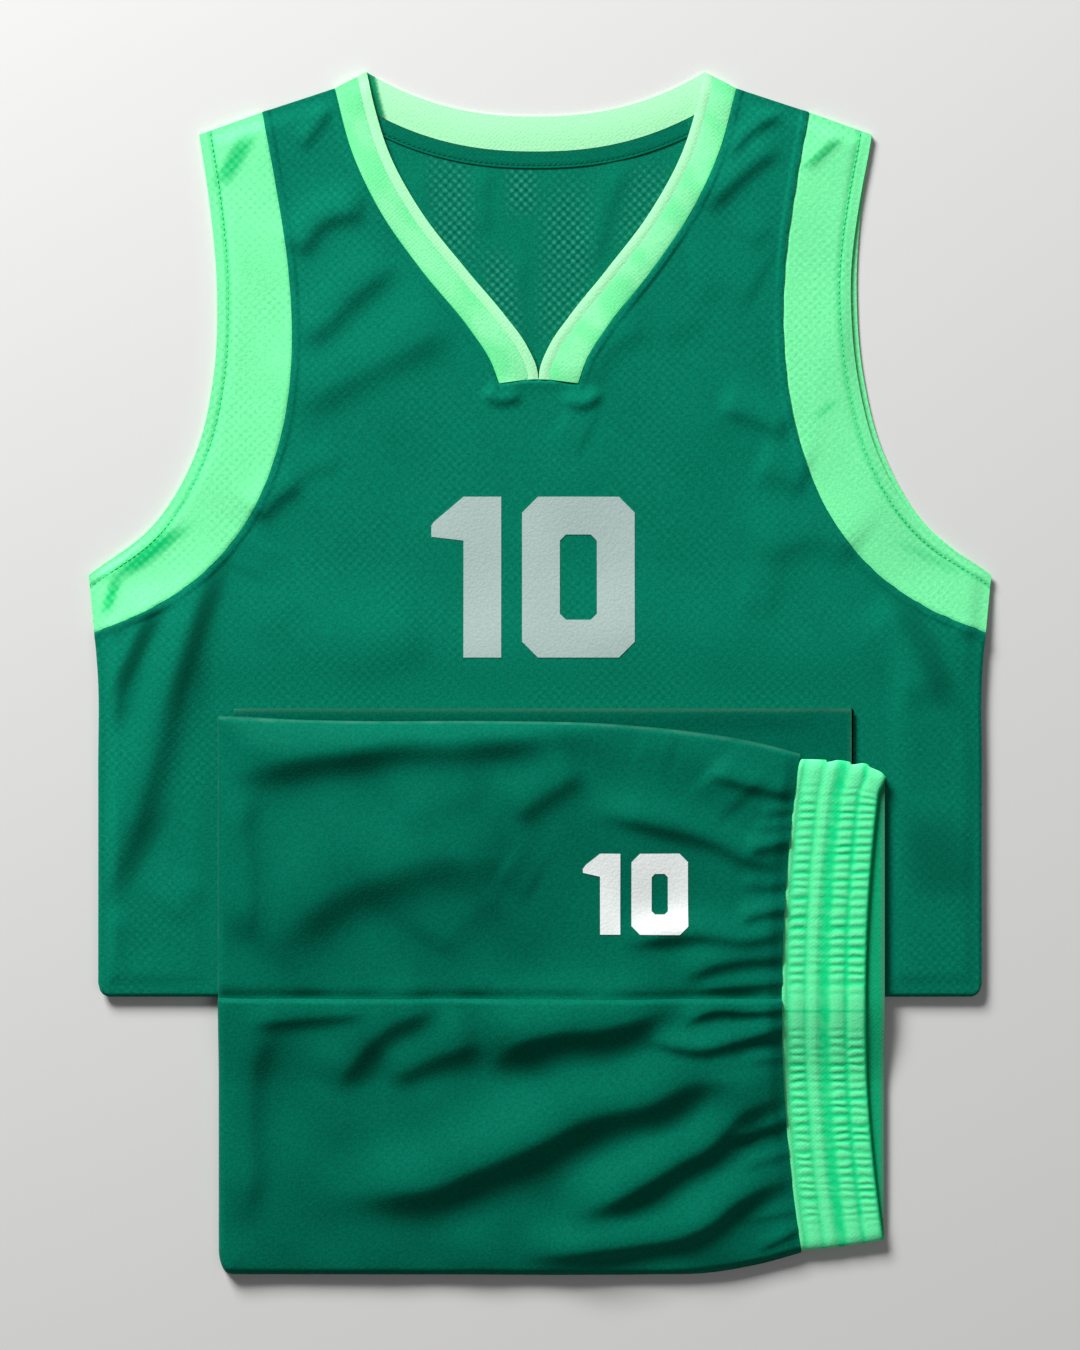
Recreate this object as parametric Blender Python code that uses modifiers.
"""A basketball uniform laid flat: a sleeveless V-neck jersey, its lower part folded under it, and a
pair of shorts that lie on their side across it, folded in half lengthways, waistband to the right.

Metres, +Z up. +Y runs up the jersey to its neck, +X to the right of someone who looks down on it.
The origin is on the surface the uniform lies on, under the middle of its outline. Every sewn piece
is a cloth wall of its own: an outer skin, worked out from the outline and the folds that lie on it,
with Solidify for its thickness. The layers that nothing shows of are two packs with layered rims.
"""

from collections import namedtuple

import bmesh
import bpy
import numpy as np

# ---------------------------------------------------------------- driving dimensions

WALL = 0.0013  # one layer of cloth
GAP = 0.0003  # between pieces at a seam, and between layers that lie on each other
RIB_WALL = 0.0017  # the knitted collar is thicker than the mesh cloth
TAPE_WALL = 0.0010  # the flat tape inside the back of the neck

# the jersey
JERSEY_FOLD_Y = -0.201  # the fold that is its lower edge
FOLDED_UNDER = 0.200  # how far the folded part reaches back up beneath the rest
FOLD_RAMP = 0.070  # over which the jersey comes down from the folded part to the surface
ROLL_ANGLES = (-90, -50, -15, 20, 55)  # rows round the lower fold, in degrees from level
ROLL_NARROWING = 0.016  # share by which its corners are rounded
SIDE_INSET = 0.0035  # how far the hidden layers stay back from the front's side edge
TUCK_FROM = 0.255  # they only do so this far out and further
TUCK_OVER = 0.018
EDGE_DROP = 0.0009  # by which the front's side edges turn down
EDGE_TURN = 0.0022  # width of that turned edge
EDGE_TURN_START = 0.012  # below the armband it begins over this much
EDGE_FADE = 0.016  # beside a free edge the layers lie flat on each other
JERSEY_LOFT = 0.0014  # air between front and back

SHOULDER_LEAN = -0.0028  # the shoulders lie this far to the left of the hem's middle
LEAN_FROM_Y = 0.10
LEAN_OVER = 0.22
NECK_TIP = (0.105, 0.3743)  # where the collar's inner edge meets the shoulder seam
COLLAR_TIP = (0.1248, 0.3640)  # where its outer edge does
BAND_TIP = (0.170, 0.3492)  # where the armband's seam does
SHOULDER_TIP = (0.2092, 0.3352)
UNDERARM_Y = 0.0612  # where the armhole meets the side seam
BAND_END = (0.2770, 0.0255)  # where the armband's seam meets the side seam
SHOWN_BACK_HEM = 0.004  # of the right armhole's back layer, beyond the front one

COLLAR_BASE_Y = 0.1804  # the collar's cut lower end, at its outer corners
COLLAR_BASE_HALF = 0.0245
COLLAR_BASE_ARCH = 0.0025  # that end is arched upwards by this much at the middle
TRIM_WIDTH = 0.0063  # the pale edge along the collar's opening
TRIM_TOP_SHARE = 0.31  # of the collar's width, at the shoulder
TRIM_BASE_SHARE = 0.29  # and at its lower end
BACK_COLLAR_TOP_Y = 0.3468  # the back collar's upper edge, at the middle
BACK_COLLAR_BASE_Y = 0.3250
BACK_COLLAR_POWER = 2.3  # both its edges rise towards the shoulders by this power
TAPE_WIDTH = 0.0098
TAPE_REACH = 0.745  # the share of the back collar's half width along which the tape shows

# the shorts
SHORTS_TOP_Y = -0.0217  # the folded layers' upper edge
SHORTS_SEAM_Y = -0.201  # the side seam, in the middle of the folded shorts
SHORTS_HEM_X = -0.2000
HEM_CORNER_X, HEM_CORNER_Y = 0.0075, 0.016  # how far the lower corner is rounded off
PACK_HEM_X = -0.1900  # the hidden layers' hems, under the visible one
PACK_CORNER = (0.1945, -0.0560)  # the folded layers' corner above the waistband
PACK_NOTCH_Y = -0.0514  # from which their edge slopes to it along the band's upper end
HEM_DRAPE = 0.0085  # over which the visible layer comes down at the hem
BOTTOM_DRAPE = 0.0110  # and at the lower fold
BEND_START_Y = -0.1995  # where the shorts leave the jersey and come down to the surface
BEND_LENGTH = 0.058
SHORTS_LOFT = 0.0032  # air under the upper layer
LEAST_LOFT = 0.0004
LOFT_AT_BAND = 0.45  # share of it left where the cloth is gathered into the waistband
BAND_TUCK = 0.012  # the cloth is drawn down to the band over this width
PRESSED_BESIDE = 0.010  # the shorts press the jersey flat this far around them
PRESS_FADE = 0.020  # and less and less over this much more

# the waistband
BAND_MIDDLE_Y = -0.200  # it is bowed about this line
BAND_BOW_REACH = 0.155
BAND_LEFT_X = 0.1497
BAND_RIGHT_X = 0.2018
BAND_BOW = 0.0121
BAND_FLARE = 0.0030  # its upper right corner stands out this far
BAND_FLARE_FROM_Y, BAND_FLARE_OVER = -0.0755, 0.012
BAND_JOIN_Y = -0.209  # the seam between its front and back halves
BAND_TOP_Y = -0.0530
BAND_TOP_TILT = -0.0093  # the upper end slopes by this much across the band
BAND_BASE_Y = -0.3580
BAND_BASE_TILT = 0.0062
BAND_TILT_POWER = 1.4
BAND_END_SCALLOP = 0.0006
BAND_END_ROLL = 0.0070  # over which each end turns down into the fold
BAND_END_WALL = 0.0008
BAND_WALL = 0.0018  # at the rows of stitching
BAND_CROWN = 0.0017  # how far the channels stand above those rows
GATHERS = 54
GATHER_HEIGHT = 0.0010
JOIN_FLAT, JOIN_FADE = 0.004, 0.012  # the gathers fade out towards the join
FAR_BAND_WALL = 0.0024
FAR_BAND_EDGE_X = 0.2136
FAR_BAND_INSET = 0.0010  # it stays back from the near side's ends
FAR_BAND_ROUND = 0.0006

PACK_LAYER = WALL + GAP
JERSEY_PACK = 2 * WALL + GAP
SHORTS_PACK = 3 * WALL + 2 * GAP
RIM_GROOVE = 0.0030  # depth of the grooves between the layers of a pack
RIM_ROUND = 0.0005
FOLD_TOP_Y = JERSEY_FOLD_Y + FOLDED_UNDER
RAMP_START_Y = FOLD_TOP_Y + 0.002
JERSEY_STACK = JERSEY_PACK + GAP + WALL + GAP + WALL  # the whole folded jersey
FOLD_RADIUS = JERSEY_STACK / 2
INSIDE_FOLD_Y = JERSEY_FOLD_Y + FOLD_RADIUS + 0.0006
SHORTS_BASE = JERSEY_STACK + GAP
BAND_LIFT = FAR_BAND_WALL + 0.0005

# rows and columns of the grids
SEAM_ROWS = 25  # points along each armband's seam, which the panels share
COLLAR_ROWS = 11  # points along each side of the collar, which the front shares
COLLAR_CROWDING = 1.25  # they lie closer together towards the point of the V
SIDE_ROWS = 9
SPARSE_SHARES = (0, 0.16, 0.32, 0.47, 0.60, 0.70)  # columns from a panel's middle to its outer edge
DENSE_SHARES = (0.745, 0.775, 0.80, 0.825, 0.85, 0.875, 0.90, 0.93, 0.96, 0.992, 1)  # closer where it creases
CENTRE_COLUMNS = 4
BACK_COLLAR_HALF_COLUMNS = 7
BACK_SHOULDER_SHARE = 0.87
TAPE_COLUMNS = 17
SHORTS_COLUMNS = 26
BEND_ROWS = np.linspace(BEND_START_Y - 0.008, BEND_START_Y - BEND_LENGTH, 8)

# ---------------------------------------------------------------- outlines

Edge = namedtuple("Edge", "across up")

ARMHOLE = (
    Edge(*SHOULDER_TIP),
    Edge(0.2031, 0.2940),
    Edge(0.1990, 0.2380),
    Edge(0.2021, 0.1854),
    Edge(0.2133, 0.1388),
    Edge(0.2406, 0.0922),
    Edge(0.2807, UNDERARM_Y),
)
ARMBAND_SEAM = (
    Edge(*BAND_TIP),
    Edge(0.1621, 0.3064),
    Edge(0.1543, 0.2506),
    Edge(0.1528, 0.2133),
    Edge(0.1553, 0.1760),
    Edge(0.1633, 0.1388),
    Edge(0.1785, 0.1015),
    Edge(0.2074, 0.0643),
    Edge(0.2434, 0.0394),
    Edge(*BAND_END),
)
SIDE = (
    Edge(0.2807, UNDERARM_Y),
    Edge(0.2770, 0.0255),
    Edge(0.2748, 0.0000),
    Edge(0.2745, -0.0600),
    Edge(0.2745, -0.1900),
)
COLLAR_OUTER = (
    Edge(*COLLAR_TIP),
    Edge(0.1143, 0.3250),
    Edge(0.0969, 0.2878),
    Edge(0.0714, 0.2506),
    Edge(0.0416, 0.2133),
    Edge(0.0298, 0.1947),
    Edge(COLLAR_BASE_HALF, COLLAR_BASE_Y),
)
NECK_OPENING = (
    Edge(*NECK_TIP),
    Edge(0.1003, 0.3530),
    Edge(0.0916, 0.3250),
    Edge(0.0717, 0.2878),
    Edge(0.0432, 0.2506),
    Edge(0.0202, 0.2226),
    Edge(0.0071, 0.2040),
    Edge(0.0004, 0.1863),
    Edge(0.0002, 0.1829),
)
SHORTS_UPPER_EDGE = (
    Edge(-0.1980, -0.0265),
    Edge(-0.0900, -0.0245),
    Edge(-0.0124, -0.0242),
    Edge(0.0560, -0.0292),
    Edge(0.1100, -0.0372),
    Edge(0.1620, -0.0492),
)
SHORTS_LOWER_EDGE = (
    Edge(-0.2000, -0.3738),
    Edge(-0.0500, -0.3740),
    Edge(0.0600, -0.3740),
    Edge(0.0950, -0.3732),
    Edge(0.1300, -0.3680),
    Edge(0.1620, -0.3600),
)

# ---------------------------------------------------------------- folds

Fold = namedtuple("Fold", "from_x from_y to_x to_y bow width height")

JERSEY_FOLDS = (
    Fold(-0.2068, 0.0560, -0.2575, -0.1300, 0.006, 0.0048, -0.0030),  # the long one down the left side
    Fold(-0.2300, 0.0300, -0.2640, -0.0900, 0.004, 0.0075, 0.0022),
    Fold(-0.2400, 0.0350, -0.2700, -0.0550, 0.004, 0.0040, -0.0020),
    Fold(-0.2080, -0.0200, -0.2200, -0.1500, 0.004, 0.0100, 0.0014),
    Fold(-0.2520, -0.1580, -0.2240, -0.1880, 0.000, 0.0070, 0.0014),
    Fold(-0.2240, -0.1400, -0.2460, -0.1800, 0.000, 0.0060, -0.0010),
    Fold(-0.1520, 0.2640, -0.1120, 0.2860, 0.004, 0.0045, -0.0012),
    Fold(-0.1420, 0.2050, -0.0900, 0.2560, 0.003, 0.0060, -0.0012),
    Fold(-0.1540, 0.1520, -0.1050, 0.1810, 0.004, 0.0050, -0.0014),
    Fold(-0.1640, 0.1010, -0.1410, 0.1240, 0.000, 0.0050, -0.0011),
    Fold(-0.1420, -0.0200, -0.0960, 0.0250, 0.000, 0.0110, 0.0016),
    Fold(0.1220, 0.3280, 0.1530, 0.3500, 0.003, 0.0045, -0.0012),
    Fold(0.1050, 0.2950, 0.1460, 0.3100, 0.003, 0.0050, -0.0012),
    Fold(0.1160, 0.1620, 0.1420, 0.1490, 0.000, 0.0050, -0.0011),
    Fold(0.2200, 0.0420, 0.2620, -0.0220, 0.006, 0.0065, -0.0014),
    Fold(0.2060, 0.0300, 0.2420, -0.0700, 0.004, 0.0100, 0.0014),
    Fold(0.1820, 0.0720, 0.2180, 0.0540, 0.000, 0.0060, -0.0012),
    Fold(0.1640, 0.3130, 0.1890, 0.3370, 0.002, 0.0045, -0.0013),
    Fold(-0.1990, 0.3030, -0.1740, 0.3330, 0.002, 0.0045, -0.0012),
    Fold(-0.0370, 0.1740, -0.0180, 0.1640, -0.002, 0.0035, -0.0012),
    Fold(0.0180, 0.1640, 0.0370, 0.1730, -0.002, 0.0035, -0.0012),
)
SHORTS_FOLDS = (
    # above the side seam
    Fold(-0.1900, -0.0680, 0.0250, -0.0400, 0.003, 0.0062, -0.0036),
    Fold(-0.1700, -0.0820, 0.0200, -0.0580, 0.004, 0.0110, 0.0022),
    Fold(-0.1830, -0.0700, -0.1720, -0.1800, -0.004, 0.0080, -0.0018),
    Fold(-0.1380, -0.1520, -0.0280, -0.1240, 0.005, 0.0070, -0.0028),
    Fold(-0.1250, -0.1350, -0.0300, -0.1060, 0.004, 0.0100, 0.0015),
    Fold(-0.0130, -0.0940, 0.0320, -0.0600, 0.000, 0.0055, -0.0022),
    Fold(-0.0600, -0.1690, 0.0140, -0.1330, 0.005, 0.0065, -0.0014),
    Fold(0.0330, -0.0860, 0.1500, -0.1250, 0.007, 0.0045, -0.0028),
    Fold(0.0700, -0.0780, 0.1480, -0.1060, 0.004, 0.0060, 0.0018),
    Fold(0.0980, -0.0590, 0.1560, -0.0780, 0.002, 0.0035, -0.0022),
    Fold(0.0200, -0.1120, 0.1100, -0.1540, 0.000, 0.0160, -0.0012),
    Fold(0.1200, -0.0950, 0.1540, -0.0990, 0.000, 0.0028, -0.0016),
    Fold(0.1080, -0.1330, 0.1500, -0.1370, 0.000, 0.0030, -0.0018),
    Fold(0.1180, -0.1560, 0.1530, -0.1440, 0.000, 0.0028, -0.0016),
    Fold(0.0980, -0.1640, 0.1530, -0.1610, 0.000, 0.0034, -0.0026),
    Fold(0.0820, -0.1900, 0.1530, -0.1790, 0.003, 0.0038, -0.0024),
    # below it
    Fold(-0.1560, -0.2200, -0.1060, -0.2100, 0.000, 0.0045, -0.0018),
    Fold(-0.1640, -0.2250, -0.1790, -0.3400, -0.003, 0.0085, -0.0016),
    Fold(-0.1260, -0.2560, -0.0560, -0.2060, 0.003, 0.0055, -0.0028),
    Fold(-0.0900, -0.2540, -0.0240, -0.2160, 0.000, 0.0050, -0.0022),
    Fold(-0.0340, -0.2500, 0.0860, -0.2100, 0.006, 0.0062, -0.0036),
    Fold(-0.0240, -0.2680, 0.1000, -0.2270, 0.006, 0.0100, 0.0022),
    Fold(-0.1100, -0.3310, 0.1540, -0.2510, 0.006, 0.0068, -0.0042),
    Fold(-0.1000, -0.3080, 0.1300, -0.2400, 0.008, 0.0120, 0.0024),
    Fold(0.0240, -0.3410, 0.1540, -0.2660, 0.003, 0.0052, -0.0034),
    Fold(-0.0100, -0.3480, 0.1300, -0.2960, -0.008, 0.0100, 0.0018),
    Fold(-0.0100, -0.3720, 0.1560, -0.3180, -0.013, 0.0068, -0.0040),
    Fold(0.0600, -0.3560, 0.1560, -0.3010, -0.004, 0.0080, 0.0016),
    Fold(0.0780, -0.2340, 0.1540, -0.2210, -0.002, 0.0036, -0.0026),
    Fold(0.0880, -0.2200, 0.1540, -0.2090, 0.003, 0.0034, -0.0020),
    Fold(0.1200, -0.2880, 0.1560, -0.2810, 0.000, 0.0028, -0.0017),
    Fold(0.1220, -0.3110, 0.1560, -0.2990, 0.000, 0.0028, -0.0017),
    Fold(0.1340, -0.3600, 0.1600, -0.3440, 0.000, 0.0030, -0.0016),
)

Channel = namedtuple("Channel", "across crown gathered")

BAND_PROFILE = (
    Channel(0.000, 0.00, 0.0),
    Channel(0.030, 0.45, 0.0),
    Channel(0.075, 0.20, 0.2),
    Channel(0.160, 1.00, 1.0),
    Channel(0.265, 0.10, 0.0),
    Channel(0.370, 0.95, 0.4),
    Channel(0.525, 0.00, 0.0),
    Channel(0.640, 0.95, 1.0),
    Channel(0.755, 0.20, 0.0),
    Channel(0.880, 0.90, 1.0),
    Channel(0.965, 0.55, 0.4),
    Channel(1.000, 0.00, 0.0),
)

# ---------------------------------------------------------------- colours, linear

Finish = namedtuple("Finish", "red green blue roughness")

MESH_GREEN = Finish(0.004, 0.175, 0.110, 0.75)
INNER_GREEN = Finish(0.004, 0.170, 0.108, 0.80)
TAPE_GREEN = Finish(0.003, 0.170, 0.090, 0.70)
ARMBAND_MINT = Finish(0.170, 0.910, 0.390, 0.70)
COLLAR_MINT = Finish(0.230, 0.940, 0.440, 0.80)
TRIM_PALE = Finish(0.440, 0.970, 0.540, 0.75)
SHORTS_GREEN = Finish(0.003, 0.120, 0.075, 0.60)
WAIST_MINT = Finish(0.080, 0.800, 0.320, 0.70)
WAIST_INNER = Finish(0.020, 0.350, 0.150, 0.75)


# ---------------------------------------------------------------- curves and surfaces

def smooth(t):
    """0 below 0, 1 above 1, and an S between them."""
    t = np.clip(t, 0.0, 1.0)
    return t * t * (3.0 - 2.0 * t)


def curve(table, count, crowding=1.0):
    """Points along the cubic Hermite curve through a short table, evenly spread or closer near its end."""
    points = np.array(table, float)
    chord = np.concatenate([[0.0], np.cumsum(np.hypot(*np.diff(points, axis=0).T))])
    slope = np.gradient(points, chord, axis=0)
    at = chord[-1] * (1 - np.linspace(1.0, 0.0, count) ** crowding)
    i = np.clip(np.searchsorted(chord, at, side="right") - 1, 0, len(chord) - 2)
    h = (chord[i + 1] - chord[i])[:, None]
    t = (at - chord[i])[:, None] / h
    return (
        (1 + 2 * t) * (1 - t) ** 2 * points[i]
        + t * (1 - t) ** 2 * h * slope[i]
        + t * t * (3 - 2 * t) * points[i + 1]
        + t * t * (t - 1) * h * slope[i + 1]
    )


def reading(table, column):
    """A function that reads the curve through a table as x of y ("up") or y of x ("across")."""
    points = curve(table, 200)
    known, wanted = (points[:, 1], points[:, 0]) if column == "up" else points.T
    order = np.argsort(known)
    return lambda value: np.interp(value, known[order], wanted[order])


def offset(points, distance):
    """The same curve moved sideways, to the left of its own direction for a positive distance."""
    along = np.gradient(points, axis=0)
    along /= np.linalg.norm(along, axis=1)[:, None]
    return points + distance * np.column_stack([-along[:, 1], along[:, 0]])


def between(first, second, shares):
    """x and y on straight rows from the points of one edge to those of another."""
    shares = np.asarray(shares)[None, :, None]
    points = first[:, None, :] * (1 - shares) + second[:, None, :] * shares
    return points[..., 0], points[..., 1]


armhole_at = reading(ARMHOLE, "up")
side_at = reading(SIDE, "up")
shorts_upper_at = reading(SHORTS_UPPER_EDGE, "across")
shorts_lower_at = reading(SHORTS_LOWER_EDGE, "across")


def shoulder_at(across):
    """Height of the shoulder seam, from the collar's tip to the shoulder's."""
    tips = np.array([NECK_TIP, COLLAR_TIP, BAND_TIP, SHOULDER_TIP])
    return np.interp(across, tips[:, 0], tips[:, 1])


def lean(up):
    """How far the jersey's middle line lies to the side at a height."""
    return SHOULDER_LEAN * smooth((up - LEAN_FROM_Y) / LEAN_OVER)


def folds(table, x, y):
    """Sum of the table's ridges and troughs: a bell across a bowed line, fading out at both its ends."""
    total = np.zeros(np.shape(x))
    for fold in table:
        run_x, run_y = fold.to_x - fold.from_x, fold.to_y - fold.from_y
        length = np.hypot(run_x, run_y)
        t = ((x - fold.from_x) * run_x + (y - fold.from_y) * run_y) / length**2
        aside = ((y - fold.from_y) * run_x - (x - fold.from_x) * run_y) / length
        aside = aside - fold.bow * 4 * t * (1 - t)
        fading = smooth(t / 0.3) * smooth((1 - t) / 0.3)
        total += fold.height * np.exp(-((aside / fold.width) ** 2)) * fading
    return total


# ---------------------------------------------------------------- heights of the jersey

def back_level(y):
    """The underside of the jersey's back: on the folded part, then down to the surface."""
    return (JERSEY_PACK + GAP) * (1 - smooth((y - RAMP_START_Y) / FOLD_RAMP))


def front_level(x, y):
    """The outer face of the jersey's front, from the table of its folds."""
    across = np.abs(x - lean(y))
    to_side = np.where(y > UNDERARM_Y, armhole_at(y), side_at(y)) - across
    to_edge = np.minimum(to_side, shoulder_at(across) - y)
    to_edge = np.minimum(to_edge, y - JERSEY_FOLD_Y - FOLD_RADIUS)
    free = smooth((to_edge - EDGE_TURN) / EDGE_FADE) * (1 - pressed(x, y))
    loft = np.maximum(0.0, JERSEY_LOFT + folds(JERSEY_FOLDS, x, y))
    turned = EDGE_DROP * (1 - smooth(to_side / EDGE_TURN)) * smooth((BAND_END[1] - y) / EDGE_TURN_START)
    return back_level(y) + WALL + GAP + WALL + free * loft - turned


def pressed(x, y):
    """1 where the shorts lie on the jersey, 0 away from them."""
    half = (FAR_BAND_EDGE_X - SHORTS_HEM_X) / 2 + PRESSED_BESIDE
    from_middle = np.abs(x - (FAR_BAND_EDGE_X + SHORTS_HEM_X) / 2)
    below_top = smooth((SHORTS_TOP_Y + PRESSED_BESIDE + PRESS_FADE - y) / PRESS_FADE)
    return below_top * smooth((half + PRESS_FADE - from_middle) / PRESS_FADE)


# ---------------------------------------------------------------- heights of the shorts

def shorts_level(y):
    """What the shorts lie on: the folded jersey, then down to the surface below its lower edge."""
    return SHORTS_BASE * (1 - smooth((BEND_START_Y - y) / BEND_LENGTH))


def band_left(y):
    return BAND_LEFT_X + BAND_BOW * ((y - BAND_MIDDLE_Y) / BAND_BOW_REACH) ** 2


def band_right(y):
    flare = BAND_FLARE * smooth((y - BAND_FLARE_FROM_Y) / BAND_FLARE_OVER)
    return BAND_RIGHT_X + BAND_BOW * ((y - BAND_MIDDLE_Y) / BAND_BOW_REACH) ** 2 + flare


def shorts_hem(y):
    """The hem's line, rounded off at the lower corner."""
    down = np.clip(1 - (y - shorts_lower_at(SHORTS_HEM_X)) / HEM_CORNER_Y, 0, 1)
    return SHORTS_HEM_X + HEM_CORNER_X * (1 - np.sqrt(1 - down**2))


def shorts_face(x, y):
    """The outer face of the shorts' upper layer, over the hidden pack, from the table of its folds."""
    above_bottom = y - shorts_lower_at(x)
    below_top = shorts_upper_at(x) - y
    from_hem = x - shorts_hem(y)
    over_pack = smooth(from_hem / HEM_DRAPE) * smooth(above_bottom / BOTTOM_DRAPE)
    near_edge = np.minimum(np.minimum(from_hem - HEM_DRAPE, above_bottom - BOTTOM_DRAPE), below_top)
    at_band = 1 - smooth((band_left(y) - x) / BAND_TUCK)
    free = smooth(near_edge / EDGE_FADE) * (1 - (1 - LOFT_AT_BAND) * at_band)
    loft = np.maximum(0.0, SHORTS_LOFT + folds(SHORTS_FOLDS, x, y))
    return shorts_level(y) + WALL + over_pack * (SHORTS_PACK + GAP + LEAST_LOFT + free * loft)


# ---------------------------------------------------------------- objects

def material(name, finish):
    made = bpy.data.materials.new(name)
    made.use_nodes = True
    shader = made.node_tree.nodes["Principled BSDF"]
    shader.inputs["Base Color"].default_value = (finish.red, finish.green, finish.blue, 1.0)
    shader.inputs["Roughness"].default_value = finish.roughness
    shader.inputs["Metallic"].default_value = 0.0
    return made


def add_object(name, points, faces, finish):
    mesh = bpy.data.meshes.new(name)
    mesh.from_pydata([tuple(p) for p in points], [], [tuple(map(int, face)) for face in faces])
    mesh.materials.append(material(name + "_cloth", finish))
    made = bpy.data.objects.new(name, mesh)
    uniform.objects.link(made)
    return made


def cloth(name, x, y, z, finish, thickness=WALL, keep=None):
    """A wall of cloth under an outer skin: a grid of points, without the cells that keep leaves out."""
    rows, columns = x.shape
    index = np.arange(rows * columns).reshape(rows, columns)
    quads = np.stack([index[:-1, :-1], index[:-1, 1:], index[1:, 1:], index[1:, :-1]], axis=-1)
    quads = quads[keep] if keep is not None else quads.reshape(-1, 4)
    used, quads = np.unique(quads, return_inverse=True)
    points = np.stack([x, y, z], axis=-1).reshape(-1, 3)[used]
    quads = quads.reshape(-1, 4)
    a, b, c = (points[quads[:, i], :2] for i in (0, 1, 2))
    facing = np.sum((b[:, 0] - a[:, 0]) * (c[:, 1] - b[:, 1]) - (b[:, 1] - a[:, 1]) * (c[:, 0] - b[:, 0]))
    made = add_object(name, points, quads if facing > 0 else quads[:, ::-1], finish)
    wall = made.modifiers.new("wall", "SOLIDIFY")
    wall.thickness = thickness
    wall.offset = -1.0
    wall.use_quality_normals = True
    made.data.shade_smooth()
    return made


def solid(name, rings, finish):
    """A closed body through a row of rings, each with the same number of points, capped at both ends."""
    rows, around = rings.shape[:2]
    index = np.arange(rows * around).reshape(rows, around)
    onward = np.roll(index, -1, axis=1)
    sides = np.stack([index[:-1], onward[:-1], onward[1:], index[1:]], axis=-1).reshape(-1, 4)
    made = add_object(name, rings.reshape(-1, 3), [*sides, index[0], index[-1]], finish)
    body = bmesh.new()
    body.from_mesh(made.data)
    bmesh.ops.recalc_face_normals(body, faces=body.faces)
    body.to_mesh(made.data)
    body.free()
    return made


def layered_rim(layers, insets):
    """(inset, height) up the rim of a pack of cloth: a rounded edge for each layer, a groove between them."""
    points = []
    for layer in range(layers):
        foot = layer * PACK_LAYER
        inset = insets[layer]
        if layer:
            points.append((max(inset, insets[layer - 1]) + RIM_GROOVE, foot))
        points += [(inset + RIM_ROUND, foot), (inset, foot + WALL / 2), (inset + RIM_ROUND, foot + WALL)]
        if layer < layers - 1:
            points.append((max(inset, insets[layer + 1]) + RIM_GROOVE, foot + WALL))
    return np.array(points)


def pack(name, left, middle, right, level, layers, insets, finish):
    """Hidden layers as one body: rings through three lines of (x, y) points, a layered rim at either side."""
    rim = layered_rim(layers, insets)
    up = rim[:, 1]
    stations = (
        [(right, -inset, height) for inset, height in rim]
        + [(middle, 0.0, up[-1])]
        + [(left, inset, height) for inset, height in rim[::-1]]
        + [(middle, 0.0, up[0])]
    )
    lines = [
        np.column_stack([at[:, 0] + aside, at[:, 1], level(at[:, 1]) + height])
        for at, aside, height in stations
    ]
    return solid(name, np.stack(lines, axis=1), finish)


# ---------------------------------------------------------------- the jersey

def mirrored(points, side):
    """Half an outline, as table rows of across and up, put on one side of the leaning middle line."""
    return np.column_stack([side * points[:, 0] + lean(points[:, 1]), points[:, 1]])


def panel_edge(first_y):
    """A panel's outer edge: up the side seam from first_y, then on along the armband's seam."""
    up_side = np.linspace(first_y, BAND_END[1], SIDE_ROWS)[:-1]
    side = np.column_stack([side_at(up_side), up_side])
    seam = curve(ARMBAND_SEAM, SEAM_ROWS)[::-1]
    inside = offset(seam, GAP)
    inside[0] = BAND_END[0], BAND_END[1] - GAP
    return np.vstack([side, inside])


def tucked(points):
    """A hidden layer's outline: the front's, kept back at the side seam so that the front turns over it."""
    across = points[:, 0] - SIDE_INSET * smooth((points[:, 0] - TUCK_FROM) / TUCK_OVER)
    return np.column_stack([across, points[:, 1]])


def jersey_front():
    """One panel with the V cut out: straight rows from the middle or the collar's seam to the outer edge."""
    fold_y = JERSEY_FOLD_Y + FOLD_RADIUS
    outer = panel_edge(fold_y)
    body_rows = len(outer) - COLLAR_ROWS + 1
    base = COLLAR_BASE_HALF + GAP, COLLAR_BASE_Y - GAP
    up_middle = np.linspace(fold_y, base[1], body_rows)
    inner_low = np.column_stack([np.full(body_rows, base[0]), up_middle])
    inner_high = offset(curve(COLLAR_OUTER, COLLAR_ROWS, COLLAR_CROWDING), GAP)[-2::-1]
    inner = np.vstack([inner_low, inner_high])
    right_x, right_y = between(inner, outer, SPARSE_SHARES + DENSE_SHARES)
    middle = np.linspace(-1, 1, CENTRE_COLUMNS + 1)[1:-1]
    middle_x = inner[:, :1] * middle
    middle_y = inner[:, 1:] + 0 * middle
    middle_y[body_rows - 1] += COLLAR_BASE_ARCH * (1 - np.abs(middle) ** 1.4)
    x = np.hstack([-right_x[:, ::-1], middle_x, right_x])
    y = np.hstack([right_y[:, ::-1], middle_y, right_y])
    x = x + lean(y)
    keep = np.ones((x.shape[0] - 1, x.shape[1] - 1), bool)
    first_middle = right_x.shape[1] - 1
    keep[body_rows - 1 :, first_middle : first_middle + CENTRE_COLUMNS] = False
    z = front_level(x, y)
    roll_x, roll_y, roll_z = fold_roll(x[0], z[0])
    cloth(
        "jersey_front",
        np.vstack([roll_x, x]),
        np.vstack([roll_y, y]),
        np.vstack([roll_z, z]),
        MESH_GREEN,
        keep=np.vstack([np.ones((len(roll_x), keep.shape[1]), bool), keep]),
    )


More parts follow.
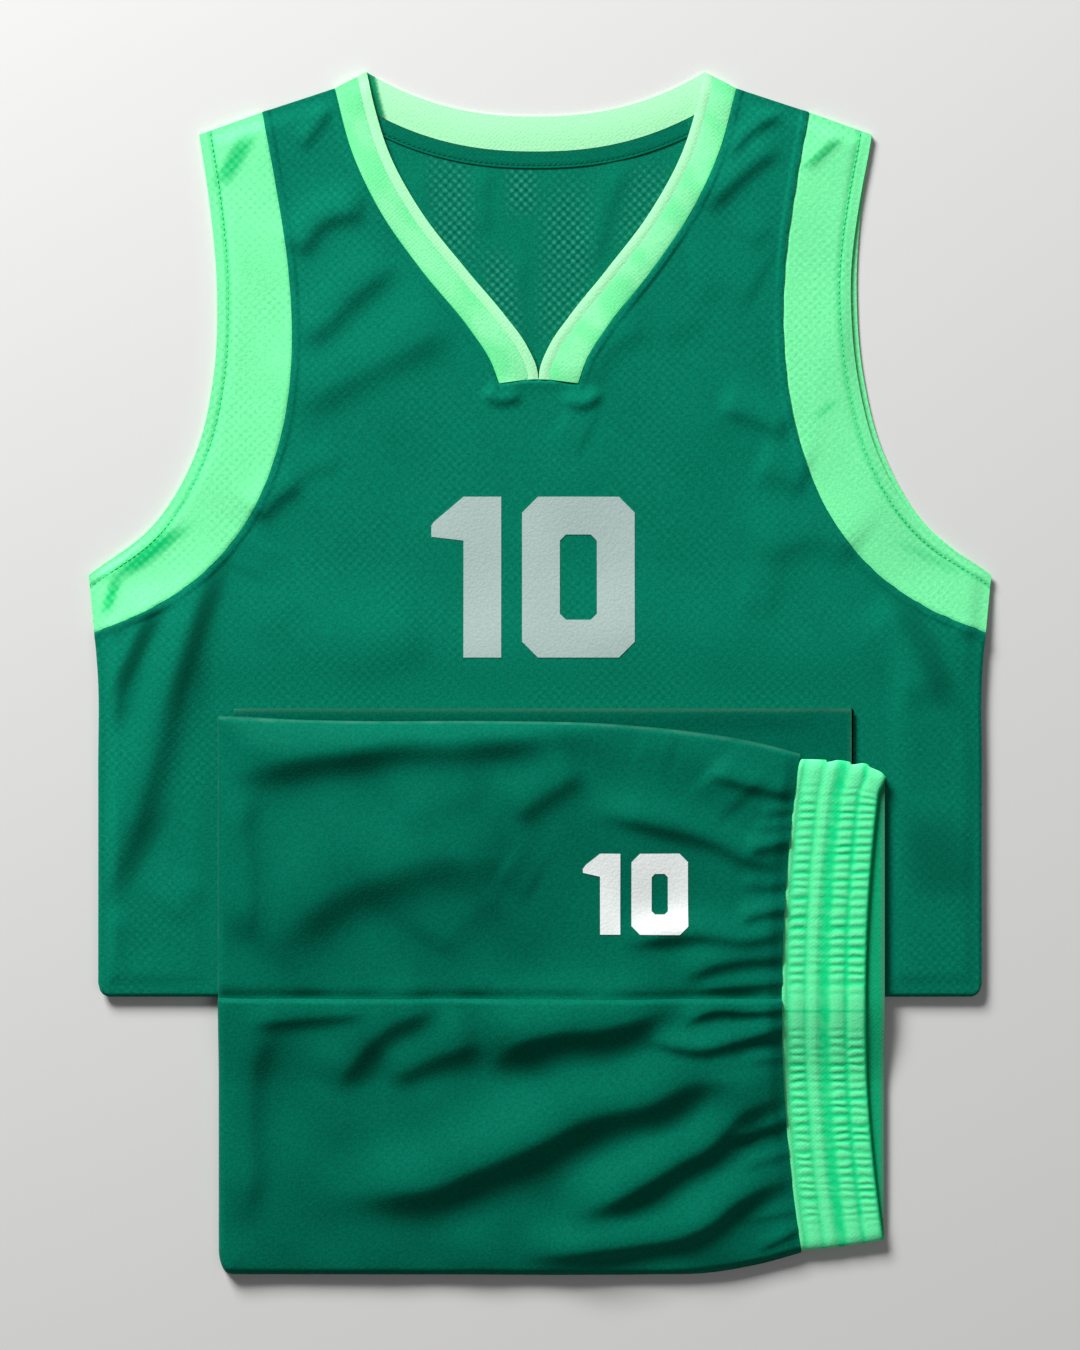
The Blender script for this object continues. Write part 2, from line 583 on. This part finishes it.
def fold_roll(x, z):
    """Rows that carry the front round the lower fold, from the surface up to its first flat row."""
    angle = np.radians(ROLL_ANGLES)[:, None]
    centre_y = JERSEY_FOLD_Y + FOLD_RADIUS
    roll_y = centre_y - FOLD_RADIUS * np.cos(angle) + 0 * x
    narrowed = 1 - ROLL_NARROWING * (1 - np.sin((angle + np.pi / 2) / 2))
    height = z * (1 + np.sin(angle)) / 2
    return x * narrowed, roll_y, height


def jersey_back():
    """The other panel, under the front one, from inside the lower fold to the back neck and shoulders."""
    outer = tucked(panel_edge(INSIDE_FOLD_Y))
    middle_y = np.linspace(INSIDE_FOLD_Y, BACK_COLLAR_BASE_Y - GAP, len(outer))
    collar = back_collar_edge(COLLAR_TIP, BACK_COLLAR_BASE_Y)
    under_collar = np.linspace(0, COLLAR_TIP[0] / outer[-1, 0], BACK_COLLAR_HALF_COLUMNS + 1)
    shares = np.append(under_collar, [BACK_SHOULDER_SHARE, 1.0])
    across = outer[:, :1] * shares
    up = middle_y[:, None] * (1 - shares) + outer[:, 1:] * shares
    top = np.where(
        across[-1] < COLLAR_TIP[0] + GAP, collar(across[-1]) - 2 * GAP, shoulder_at(across[-1])
    )
    climb = smooth((middle_y[:, None] - COLLAR_BASE_Y) / (middle_y[-1] - COLLAR_BASE_Y))
    climb[-1] = 1.0
    up = up + climb * (top - up[-1])
    x = np.hstack([-across[:, :0:-1], across])
    y = np.hstack([up[:, :0:-1], up])
    cloth("jersey_back", x + lean(y), y, back_level(y) + WALL, INNER_GREEN)


def back_collar_edge(tip, middle_y):
    """Height of one edge of the back collar: it rises from the middle to its tip at the shoulder."""
    return lambda across: middle_y + (tip[1] - middle_y) * (np.abs(across) / tip[0]) ** BACK_COLLAR_POWER


def back_neck():
    """The collar across the back of the neck, and the tape that covers its seam inside."""
    t = np.linspace(-1, 1, 2 * BACK_COLLAR_HALF_COLUMNS + 1)
    lower = back_collar_edge(COLLAR_TIP, BACK_COLLAR_BASE_Y)
    upper = back_collar_edge(NECK_TIP, BACK_COLLAR_TOP_Y)
    low = np.column_stack([t * COLLAR_TIP[0], lower(t * COLLAR_TIP[0])])
    high = np.column_stack([t * NECK_TIP[0], upper(t * NECK_TIP[0])])
    x, y = between(low, high, [0, 0.5, 1])
    cloth("collar_back", x + lean(y), y, np.full(x.shape, WALL), TRIM_PALE)
    t = np.linspace(-TAPE_REACH, TAPE_REACH, TAPE_COLUMNS) * COLLAR_TIP[0]
    edge = np.column_stack([t, lower(t) - 2 * GAP])
    x, y = between(edge, offset(edge, -TAPE_WIDTH), [0, 1])
    cloth("neck_tape", x + lean(y), y, np.full(x.shape, WALL + GAP + TAPE_WALL), TAPE_GREEN, TAPE_WALL)


def armbands():
    """Four bands round the armholes, front and back, between the armhole's edge and the band's seam."""
    edge = curve(ARMHOLE, SEAM_ROWS)
    seam = curve(ARMBAND_SEAM, SEAM_ROWS)
    for name, side in (("left", -1), ("right", 1)):
        along = np.linspace(0, 3, SEAM_ROWS)
        shown = SHOWN_BACK_HEM * smooth(along) * smooth(3 - along) * (side > 0)
        inset_edge = edge - shown[:, None] * (edge - seam) / np.linalg.norm(edge - seam, axis=1)[:, None]
        shares = [0, 0.33, 0.66, 1 - EDGE_TURN / 0.040, 1]
        x, y = between(mirrored(seam, side), mirrored(inset_edge, side), shares)
        z = front_level(x, y)
        cloth(f"armband_front_{name}", x, y, z, ARMBAND_MINT)
        x, y = between(mirrored(tucked(seam), side), mirrored(tucked(edge), side), [0, 0.5, 1])
        cloth(f"armband_back_{name}", x, y, np.full(x.shape, WALL) + back_level(y), ARMBAND_MINT)


def collar_front():
    """The rib collar down both sides of the V, and the pale edge along its opening."""
    outer = curve(COLLAR_OUTER, COLLAR_ROWS, COLLAR_CROWDING)
    opening = curve(NECK_OPENING, COLLAR_ROWS, COLLAR_CROWDING)
    trim_line = offset(opening, TRIM_WIDTH)
    trim_line[0] = opening[0] + TRIM_TOP_SHARE * (outer[0] - opening[0])
    arched_y = COLLAR_BASE_Y + COLLAR_BASE_ARCH * (1 - TRIM_BASE_SHARE**2)
    trim_line[-1] = COLLAR_BASE_HALF * TRIM_BASE_SHARE, arched_y
    opening[-1, 0] = GAP / 2
    width = np.linalg.norm(outer - trim_line, axis=1)[:, None]
    collar_line = trim_line + GAP * (outer - trim_line) / width
    for name, side in (("left", -1), ("right", 1)):
        x, y = between(mirrored(outer, side), mirrored(collar_line, side), [0, 0.35, 0.7, 1])
        z = front_level(x, y) + RIB_WALL - WALL
        cloth(f"collar_front_{name}", x, y, z, COLLAR_MINT, RIB_WALL)
        x, y = between(mirrored(trim_line, side), mirrored(opening, side), [0, 0.5, 1])
        z = front_level(x, y) + RIB_WALL - WALL
        cloth(f"collar_trim_{name}", x, y, z, TRIM_PALE, RIB_WALL)


def jersey_folded_layers():
    """The lower part of the jersey, front and back, turned under: two layers in one pack."""
    y = np.append(np.linspace(INSIDE_FOLD_Y, FOLD_TOP_Y - 0.006, 5), FOLD_TOP_Y)
    rounding = np.array([0.0020, 0.0, 0.0006, 0.0, 0.0010, 0.0040])
    right = np.column_stack([side_at(y) - SIDE_INSET - rounding, y])
    left, middle = right * (-1, 1), right * (0, 1)
    pack("jersey_folded_layers", left, middle, right, np.zeros_like, 2, (0.0, 0.0012), MESH_GREEN)


# ---------------------------------------------------------------- the shorts

def shorts_panels():
    """The two halves of the upper layer, above and below the side seam, up to the waistband's edge."""
    u = np.linspace(0, 1, SHORTS_COLUMNS)
    nominal = SHORTS_HEM_X + u * (band_left(SHORTS_SEAM_Y) - SHORTS_HEM_X)
    top, bottom = shorts_upper_at(nominal * 1.07), shorts_lower_at(nominal * 1.07)
    top[0] = shorts_upper_at(SHORTS_UPPER_EDGE[0].across)

    v = np.append(0.0, np.linspace(0.02, 1.0, 15))[:, None]
    y = top * (1 - v) + (SHORTS_SEAM_Y + GAP) * v
    place_shorts_panel("shorts_front_panel", u, y)

    bend = np.append(SHORTS_SEAM_Y - GAP, BEND_ROWS)[:, None] + 0 * u
    w = np.append(np.linspace(0, 0.88, 11)[1:], np.linspace(0.91, 1.0, 5))[:, None]
    y = np.vstack([bend, bend[-1] * (1 - w) + bottom * w])
    place_shorts_panel("shorts_back_panel", u, y)


def place_shorts_panel(name, u, y):
    hem, waist = shorts_hem(y), band_left(y) - GAP
    shares = np.where(u > 0, 0.03 + 0.97 * (u - u[1]) / (1 - u[1]), 0.0)
    x = hem + shares * (waist - hem)
    cloth(name, x, y, shorts_face(x, y), SHORTS_GREEN)


def shorts_folded_layers():
    """The other leg and the inner layers, folded beneath: three layers in one pack, with a square corner."""
    corner_x, corner_y = PACK_CORNER
    above = np.array([SHORTS_TOP_Y, SHORTS_TOP_Y - 0.0008, -0.038, PACK_NOTCH_Y])
    resting = np.append(PACK_NOTCH_Y - GAP, np.linspace(-0.075, BEND_START_Y, 5))
    y = np.concatenate([above, resting, BEND_ROWS, np.linspace(-0.280, -0.345, 3), [-0.352, -0.3605]])
    left = np.column_stack([np.full(len(y), PACK_HEM_X), y])
    left[[0, -1], 0] += 0.0010, 0.0040
    middle = np.column_stack([band_left(y) - 0.012, y])
    right = np.column_stack([band_left(y) - GAP, y])
    right[: len(above), 0] = corner_x
    right[0, 0] -= 0.0010
    right[len(above) - 1, 1] = corner_y
    middle[-2:, 0], right[-2:, 0] = (0.110, 0.080), (0.132, 0.092)
    pack("shorts_folded_layers", left, middle, right, shorts_level, 3, (0.0, 0.0016, 0.0006), SHORTS_GREEN)


def band_end(share, start, tilt):
    """One end of the waistband, which slopes across it."""
    return start + tilt * share**BAND_TILT_POWER


def waistband():
    """The near side of the elastic waistband: two halves that meet at a seam, gathered in four channels."""
    across, crown, gathered = np.array(BAND_PROFILE).T
    s = np.linspace(0, 1, 2 * GATHERS + 1)[:, None]
    scallop = BAND_END_SCALLOP * np.cos(8 * np.pi * across)
    top_end = band_end(across, BAND_TOP_Y, BAND_TOP_TILT) + scallop
    base_end = band_end(across, BAND_BASE_Y, BAND_BASE_TILT) + scallop
    y = top_end * (1 - s) + base_end * s
    middle_y = y[:, len(across) // 2]
    from_join = np.abs(middle_y - BAND_JOIN_Y)[:, None]
    from_end = np.minimum(middle_y[0] - middle_y, middle_y - middle_y[-1])[:, None]
    wave = np.where(np.arange(len(s)) % 2 == 0, -0.5, 0.5)[:, None]
    wave = wave * smooth((from_join - JOIN_FLAT) / JOIN_FADE)
    rolled = np.sqrt(np.clip(1 - (1 - np.clip(from_end / BAND_END_ROLL, 0, 1)) ** 2, 0, 1))
    height = BAND_WALL + BAND_CROWN * crown + GATHER_HEIGHT * gathered * wave
    height = BAND_END_WALL + (height - BAND_END_WALL) * rolled
    x = band_left(y) + across * (band_right(y) - band_left(y))
    join = int(np.argmin(from_join))
    for name, rows, joined, aside in (
        ("waistband_front", slice(0, join + 1), -1, GAP / 2),
        ("waistband_back", slice(join, None), 0, -GAP / 2),
    ):
        ys = y[rows].copy()
        ys[joined] += aside
        base = shorts_level(ys) + BAND_LIFT
        top = np.stack([x[rows], ys, base + height[rows]], axis=-1)
        under = np.stack([x[rows], ys, base], axis=-1)[:, [-1, 0]]
        solid(name, np.concatenate([top, under], axis=1), WAIST_MINT)


def waistband_far():
    """The far side of the band, beneath the near one: its inner face shows along the right edge."""
    stretch = BAND_TOP_Y - BAND_BASE_Y
    resting = (BAND_TOP_Y - np.linspace(-0.075, BEND_START_Y, 6)) / stretch
    bend = (BAND_TOP_Y - BEND_ROWS) / stretch
    s = np.concatenate([[0.0, 0.01], resting, bend, np.linspace(bend[-1], 0.99, 6)[1:], [1.0]])
    rows = []
    for share, outward in ((1.0, True), (0.0, False)):
        top = band_end(share, BAND_TOP_Y, BAND_TOP_TILT) - FAR_BAND_INSET
        base = band_end(share, BAND_BASE_Y, BAND_BASE_TILT) + FAR_BAND_INSET
        y = top * (1 - s) + base * s
        x = np.full(len(s), FAR_BAND_EDGE_X) if outward else band_left(y) + GAP
        rows.append((x, y))
    (right, right_y), (left, left_y) = rows
    right[[0, -1]] -= 2 * FAR_BAND_ROUND
    stations = [
        (right, right_y, 0.0),
        (right, right_y, 0.5),
        (right - FAR_BAND_ROUND, right_y, 1.0),
        (left, left_y, 1.0),
        (left, left_y, 0.0),
    ]
    lines = [np.column_stack([x, y, shorts_level(y) + share * FAR_BAND_WALL]) for x, y, share in stations]
    solid("waistband_far", np.stack(lines, axis=1), WAIST_INNER)


# ---------------------------------------------------------------- the uniform

for old in list(bpy.data.objects):
    bpy.data.objects.remove(old)
uniform = bpy.data.collections.new("basketball_uniform")
bpy.context.scene.collection.children.link(uniform)

jersey_front()
jersey_back()
back_neck()
armbands()
collar_front()
jersey_folded_layers()
shorts_panels()
shorts_folded_layers()
waistband()
waistband_far()
